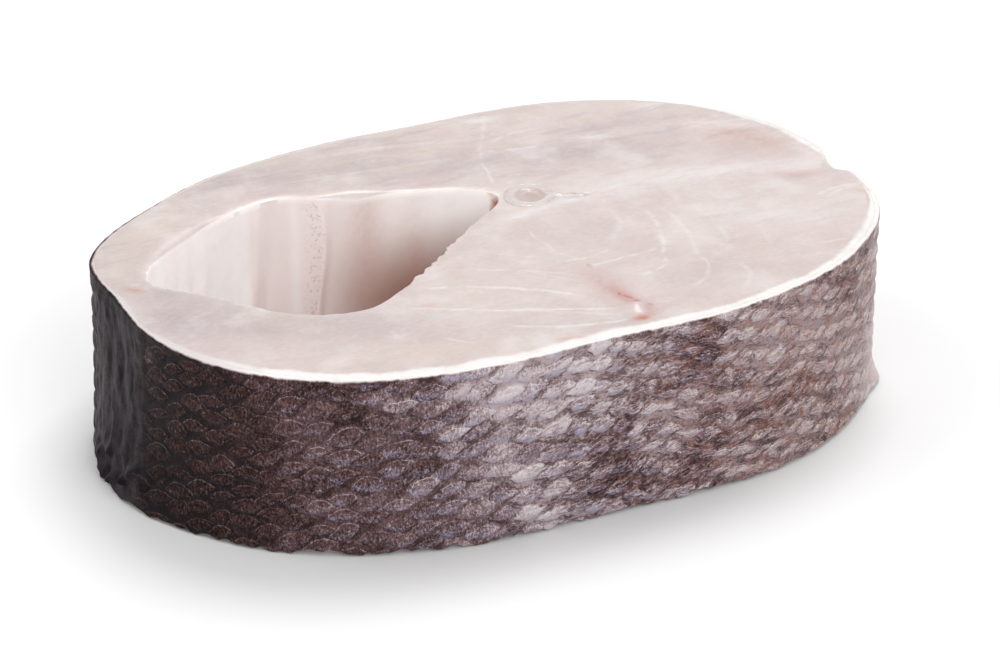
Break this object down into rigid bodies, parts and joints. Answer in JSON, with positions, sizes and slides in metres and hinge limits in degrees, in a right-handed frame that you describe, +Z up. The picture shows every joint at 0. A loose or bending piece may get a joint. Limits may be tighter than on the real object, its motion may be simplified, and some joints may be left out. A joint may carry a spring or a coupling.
{
  "type": "raw black cod steak",
  "caption": "Thick raw white-fleshed fish steak cut across the body, with scaly dark skin round its edge, backbone and open belly cavity.",
  "frame": {"origin": "middle of the bounding box on the flat underside", "axes": "+X towards the back of the fish and -X towards its belly, across the steak's longest side; +Y towards the flank away from the camera; +Z up, through the thickness"},
  "size_m": [0.1518, 0.0944, 0.038],
  "materials": {
    "flesh": "wet translucent pinkish white raw fish, with fine white septa",
    "skin": "damp dark brown fish skin with small overlapping scales, a near-black belly and a white cut edge",
    "bone": "wet pale bone with a translucent middle"
  },
  "bodies": {
    "root": {"flesh": "flesh", "skin": "skin", "backbone": "bone"}
  },
  "joints": []
}
